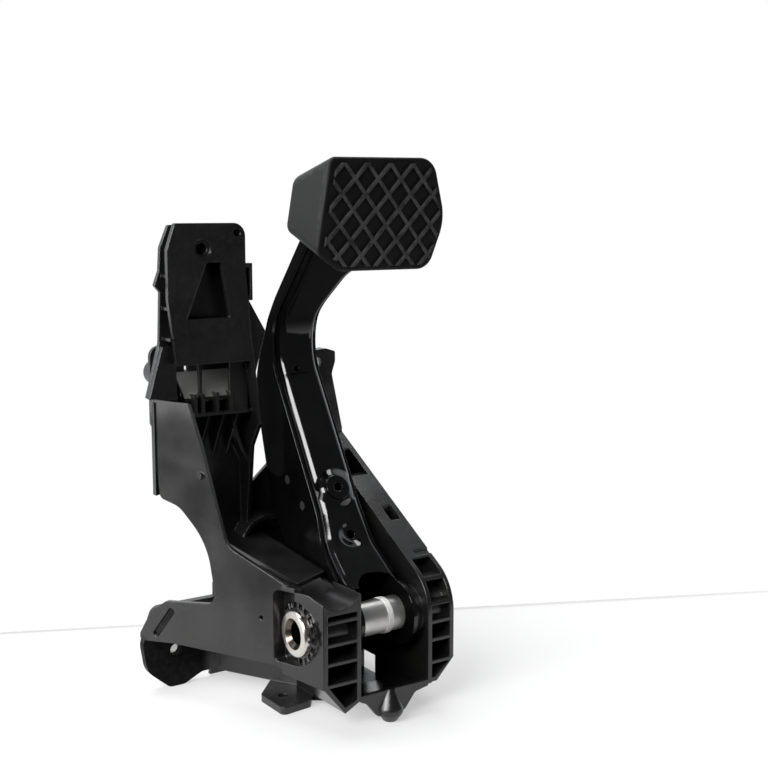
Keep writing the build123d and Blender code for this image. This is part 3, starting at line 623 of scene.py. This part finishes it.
@dataclass(frozen=True)
class LatticeRubber(Finish):
    """Pad rubber: ridge tops rubbed grey, the diamonds between them painted darker as shade in the pits.

    Attributes:
        face: a point on the pad's face, at the foot of the ridges.
        normal: way that the face looks.
        face_m: height over the face, from the pad's side to the diamonds.
        ridge_m: height over the face, from the diamonds to the ridge tops.
        rubs: rubbed patches, features per metre.
        rub_range: noise from the least rubbed to the most.
        rub_least: how grey the least rubbed ridge is.
        ridge: colour of the ridge tops.
        pit_shade: painted shade, the dark colour of the diamonds between the ridges.
    """

    face: Point = (0.021, 0.025, 0.210)
    normal: Point = (0.0, -0.990, -0.139)
    face_m: Range = (-0.0010, -0.0002)
    ridge_m: Range = (0.0007, 0.0012)
    rubs: float = 160.0
    rub_range: Range = (0.30, 0.66)
    rub_least: float = 0.25
    ridge: Colour = (0.060, 0.060, 0.059)
    pit_shade: Colour = (0.0025, 0.0025, 0.0025)

    def tint(self, g: Graph, colour: Socket) -> Socket:
        """Grey the rubbed ridges and paint shade into the diamonds between them, by height over the face.

        Args:
            g: graph of the material.
            colour: colour so far.

        Returns:
            The new colour.
        """
        from_face = g.vector("SUBTRACT", g.place(), self.face).outputs["Vector"]
        height = g.dot(from_face, self.normal)
        on_face = g.span(height, *self.face_m)
        on_ridge = g.span(height, *self.ridge_m)
        patches = g.noise(g.place(), self.rubs, detail=4.0, rough=0.65)
        rubbed = g.span(patches, *self.rub_range, self.rub_least, 1.0)
        # painted shade: the face below the ridge tops takes the dark pit colour
        colour = g.mix(on_face, colour, self.pit_shade)
        return g.mix(g.times(on_ridge, rubbed), colour, self.ridge)


@dataclass(frozen=True)
class TubeSteel(Finish):
    """Bright tube end whose mouth is painted dark brown: rust and painted shade in the bore.

    Attributes:
        mouth: colour of the mouth, rust brown with painted shade of the bore.
        mouth_r: radii between which the rust and painted shade end, inside the rolled lip.
    """

    mouth: Colour = (0.11, 0.095, 0.08)
    mouth_r: Range = (0.0077, 0.0084)

    def tint(self, g: Graph, colour: Socket) -> Socket:
        """Paint the bore rust brown and shaded, by distance from the pivot's axis.

        Args:
            g: graph of the material.
            colour: colour so far.

        Returns:
            The new colour.
        """
        _, y, z = g.axes(g.place())
        radius = g.math("SQRT", g.math("ADD", g.times(y, y), g.times(z, z)))
        inside = g.span(radius, *self.mouth_r, 1.0, 0.0)
        # rust and painted shade in the bore
        return g.mix(inside, colour, self.mouth)


FINISHES: tuple[Finish, ...] = (
    # the bracket's grey edges are rubbed wear and a painted edge highlight
    Moulding(
        Slot.BRACKET, base=(0.0048, 0.0048, 0.0050), tone=(0.0085, 0.0082, 0.0077), rough=0.25,
        rough_span=0.02, specular=0.60, bump=0.10, wear=0.08, wear_colour=(0.06, 0.06, 0.06),
        round_edges=0.0009,
    ),
    PressedPaint(
        Slot.PAINT, base=(0.0018, 0.0018, 0.0020), tone=(0.0024, 0.0024, 0.0026), rough=0.09,
        rough_span=0.02, bump=0.01, broad=60.0, dust=0.02, round_edges=0.0006,
    ),
    TubeSteel(
        Slot.BRIGHT, base=(0.60, 0.575, 0.53), tone=(0.48, 0.45, 0.41), rough=0.28, metal=1.0,
        wear=0.15, wear_colour=(0.75, 0.73, 0.70),
    ),
    Finish(
        Slot.ZINC, base=(0.70, 0.70, 0.68), tone=(0.58, 0.57, 0.55), rough=0.44, metal=1.0,
        bump=0.08, wear=0.1, wear_colour=(0.6, 0.6, 0.6),
    ),
    Finish(Slot.NYLON, base=(0.84, 0.83, 0.79), tone=(0.76, 0.75, 0.71), rough=0.45, bump=0.04),
    Finish(
        Slot.NYLON_BLACK, base=(0.012, 0.012, 0.012), tone=(0.015, 0.015, 0.015), rough=0.45,
        bump=0.06, wear=0.1,
    ),
    LatticeRubber(
        Slot.RUBBER, base=(0.008, 0.008, 0.008), tone=(0.012, 0.012, 0.012), rough=0.60, specular=0.22,
        bump=0.25, grain=1800.0, dust=0.1, wear=0.5, wear_colour=(0.06, 0.06, 0.06), round_edges=0.0007,
    ),
)


@dataclass
class CadFrame:
    """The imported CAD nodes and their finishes.

    Attributes:
        materials: the finished materials, by slot name.
    """

    frame: dict
    materials: dict[str, bpy.types.Material] = field(default_factory=dict)

    def dress(self, effects: Effects) -> None:
        """Give each CAD node the material of its record slot.

        Args:
            effects: shared node groups.
        """
        for finish in FINISHES:
            self.materials[finish.slot.value] = finish.build(effects)
        for part in self.frame["record"]["subparts"]:
            node = self.frame["nodes"][part["node"]]
            node.data.materials.clear()
            node.data.materials.append(self.materials[part["material_slot"]])
            log.info("dressed %s with %s", part["node"], part["material_slot"])


@dataclass(frozen=True)
class Lamp:
    """One soft rectangular light.

    Attributes:
        name: light name.
        at: position, in metres.
        size: width and height, in metres.
        power: watts.
        along: direction of its height.
    """

    name: str
    at: Point
    size: Range
    power: float
    along: Point = (0.0, 0.0, 1.0)

    def build(self, look: Point) -> None:
        """Add the light to the scene, out of the camera's sight.

        Args:
            look: point it faces, in metres.
        """
        data = bpy.data.lights.new(self.name, "AREA")
        data.shape = "RECTANGLE"
        data.size, data.size_y = self.size
        data.energy = self.power
        lamp = bpy.data.objects.new(self.name, data)
        back = (Vector(self.at) - Vector(look)).normalized()
        side = Vector(self.along).cross(back).normalized()
        turn = Matrix((side, back.cross(side), back)).transposed()
        lamp.matrix_world = Matrix.Translation(self.at) @ turn.to_4x4()
        lamp.visible_camera = False
        bpy.context.scene.collection.objects.link(lamp)
        log.info("light %s", self.name)


@dataclass
class Studio:
    """White table, white surroundings, soft lights and the camera.

    Attributes:
        camera_at: position of the camera.
        azimuth_deg: turn of the view from +Y toward +X.
        pitch_deg: how far the view looks down.
        lens_mm: focal length.
        sensor_mm: width of the sensor.
        clip: nearest and farthest that the camera sees.
        room: strength of the dim room in front of the object.
        room_tone: colour of the room's light.
        rear: level direction to the white side behind the object.
        rear_span: likeness to that direction, from dim to white.
        rear_top: upward part of the direction, from white to dim.
        rear_fill: share of the white side that lights the object.
        table_z: height of the table.
        half_width: half the table's width.
        edge_slope: slope of the back edge, in Y over X.
        edge_y: Y of the back edge at X 0.
        front_slope: slope of the front edge.
        front_y: Y of the front edge at X 0.
        table_tones: two greys of the table's faint mottle.
        table_mottle: the mottle, features per metre.
        glow: light added near the object for the camera and for reflections; far off it is full white.
        glow_r: distances between which the glow rises to white.
        seam_shade: painted shade: how much darker the table is along its back edge.
        seam_m: nearest and farthest of that painted shade line from the edge.
        seam_x: X between which the painted shade line weakens.
        seam_left: how much stronger the line is at the left.
        look: point that the lights face.
        lamps: the lights.
    """

    camera_at: Point = (-0.3562, -0.5277, 0.2128)
    azimuth_deg: float = 34.4
    pitch_deg: float = 7.97
    lens_mm: float = 58.6
    sensor_mm: float = 36.0
    clip: Range = (0.01, 20.0)
    room: float = 0.10
    room_tone: Colour = (0.93, 0.96, 1.0)
    rear: Point = (0.30, 0.954, 0.0)
    rear_span: Range = (-0.05, 0.35)
    rear_top: Range = (0.60, 0.90)
    rear_fill: float = 0.25
    table_z: float = -0.0512
    half_width: float = 0.9
    edge_slope: float = -0.4593
    edge_y: float = 0.1752
    front_slope: float = -0.685
    front_y: float = -0.150
    table_tones: tuple[Colour, Colour] = ((0.36, 0.36, 0.36), (0.38, 0.38, 0.38))
    table_mottle: float = 14.0
    glow: float = 0.48
    glow_r: Range = (0.25, 0.60)
    seam_shade: float = 0.22
    seam_m: Range = (0.001, 0.009)
    seam_x: Range = (-0.25, 0.12)
    seam_left: float = 2.0
    look: Point = (-0.01, 0.05, 0.08)
    lamps: tuple[Lamp, ...] = (
        Lamp("window", (-1.10485, -0.4279, 0.7145), (0.45, 1.15), 28.0, (0.54, -0.70, 0.42)),
        Lamp("left", (-1.15, 0.25, 0.22), (0.9, 0.5), 6.5),
        Lamp("top", (-0.05, 0.55, 1.25), (1.5, 0.9), 24.0),
    )

    def camera(self) -> None:
        """Place the camera at the photo's angle."""
        turn, dip = math.radians(self.azimuth_deg), math.radians(self.pitch_deg)
        ahead = Vector((math.sin(turn) * math.cos(dip), math.cos(turn) * math.cos(dip), -math.sin(dip)))
        right = Vector((math.cos(turn), -math.sin(turn), 0.0))
        up = right.cross(ahead)
        data = bpy.data.cameras.new("camera")
        data.lens = self.lens_mm
        data.sensor_width = self.sensor_mm
        data.clip_start, data.clip_end = self.clip
        cam = bpy.data.objects.new("camera", data)
        axes = Matrix((right, up, -ahead)).transposed()
        cam.matrix_world = Matrix.Translation(self.camera_at) @ axes.to_4x4()
        bpy.context.scene.collection.objects.link(cam)
        bpy.context.scene.camera = cam

    def world(self) -> None:
        """White background for the camera and behind the object in reflections, a dim room in front of it."""
        world = bpy.data.worlds.new("studio")
        bpy.context.scene.world = world
        g = Graph.fresh(world)
        ray = g.add("ShaderNodeTexCoord").outputs["Generated"]
        level = g.span(g.axes(ray)[2], *self.rear_top, 1.0, 0.0)
        back = g.times(g.span(g.dot(ray, self.rear), *self.rear_span), level)
        path = g.add("ShaderNodeLightPath").outputs
        mirror = g.math("MAXIMUM", path["Is Glossy Ray"], path["Is Transmission Ray"])
        share = g.math("ADD", g.times(mirror, 1.0 - self.rear_fill), self.rear_fill)
        room = g.math("ADD", g.times(back, share, 1.0 - self.room), self.room)
        strength = g.math("MAXIMUM", room, path["Is Camera Ray"])
        tone = g.mix(path["Is Camera Ray"], self.room_tone, WHITE)
        sky = g.add("ShaderNodeBackground", Color=tone, Strength=strength)
        g.add("ShaderNodeOutputWorld", Surface=sky.outputs[0])

    def table_white(self) -> bpy.types.Material:
        """White surface that keeps the object's soft shadow, with a faint line of painted shade at its back
        edge.

        Returns:
            The new material.
        """
        material = bpy.data.materials.new("table_white")
        g = Graph.fresh(material)
        coords = g.place()
        x, y, _ = g.axes(coords)
        edge = g.math("ADD", g.times(x, self.edge_slope), self.edge_y)
        # painted shade: a faint dark line along the back edge, which also dims the white glow there
        line = g.span(g.math("SUBTRACT", edge, y), *self.seam_m, self.seam_shade, 0.0)
        dark = g.times(line, g.span(x, *self.seam_x, self.seam_left, 1.0))
        tint = g.mix(g.noise(coords, self.table_mottle), *self.table_tones)
        base = g.add("ShaderNodeBsdfDiffuse", Color=g.mix(dark, tint, BLACK))
        path = g.add("ShaderNodeLightPath").outputs
        seen = g.math("MAXIMUM", path["Is Camera Ray"], path["Is Glossy Ray"])
        seen = g.math("MAXIMUM", seen, path["Is Transmission Ray"])
        far = g.span(g.away((0.0, 0.0, self.table_z)), *self.glow_r, self.glow, 1.0)
        bright = g.times(seen, far, g.math("SUBTRACT", 1.0, dark))
        lit = g.add("ShaderNodeEmission", Color=(*WHITE, 1.0), Strength=bright)
        both = g.add("ShaderNodeAddShader")
        g.put(both, 0, base.outputs[0])
        g.put(both, 1, lit.outputs[0])
        g.add("ShaderNodeOutputMaterial", Surface=both.outputs[0])
        return material

    def stage(self) -> None:
        """White table up to a straight seam at the back.

        Each edge is the straight line Y = slope times X plus Y at X 0.
        The corners go round from the front left.
        """
        x = np.array((-1.0, 1.0, 1.0, -1.0)) * self.half_width
        slope = np.repeat((self.front_slope, self.edge_slope), 2)
        middle = np.repeat((self.front_y, self.edge_y), 2)
        corners = np.column_stack((x, slope * x + middle, np.full(4, self.table_z)))
        mesh = bpy.data.meshes.new("table")
        mesh.from_pydata(corners.tolist(), [], [(0, 1, 2, 3)])
        mesh.update()
        table = bpy.data.objects.new("table", mesh)
        bpy.context.scene.collection.objects.link(table)
        table.data.materials.append(self.table_white())
        log.info("stage %s", table.name)

    def build(self) -> None:
        """Set up everything around the object."""
        self.camera()
        self.world()
        self.stage()
        for lamp in self.lamps:
            lamp.build(self.look)
        scene = bpy.context.scene
        scene.view_settings.view_transform = "Standard"


def main() -> None:
    """Build the looks and report each piece."""
    logging.basicConfig(level=logging.INFO)
    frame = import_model()
    effects = Effects()
    CadFrame(frame).dress(effects)
    Studio().build()


if __name__ == "__main__":
    main()
